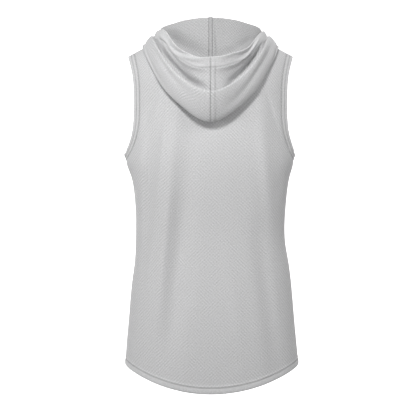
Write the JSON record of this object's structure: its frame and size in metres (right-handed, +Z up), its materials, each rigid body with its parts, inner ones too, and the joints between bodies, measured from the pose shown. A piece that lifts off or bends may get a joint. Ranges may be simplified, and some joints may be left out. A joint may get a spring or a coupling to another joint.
{
  "type": "hooded tank top",
  "caption": "Sleeveless knit top with a curved hem, bound armholes and a two-piece hood that lies down on the back, filled out as if worn.",
  "frame": {"origin": "middle of the neck opening, level with the high point of the shoulders, where the wearer's shoulders carry the garment", "axes": "+Z up, +Y the way the wearer faces, so the back of the garment faces -Y and +X is on the right seen from behind"},
  "size_m": [0.3396, 0.2747, 0.7141],
  "materials": {
    "knit": "matte pale grey knit with a fine diagonal lattice",
    "binding": "the same knit, folded and stitched flat"
  },
  "bodies": {
    "root": {"back_panel": "knit", "front_panel": "knit", "hood_left": "knit", "hood_right": "knit", "armhole_band_left": "binding", "armhole_band_right": "binding"}
  },
  "joints": []
}
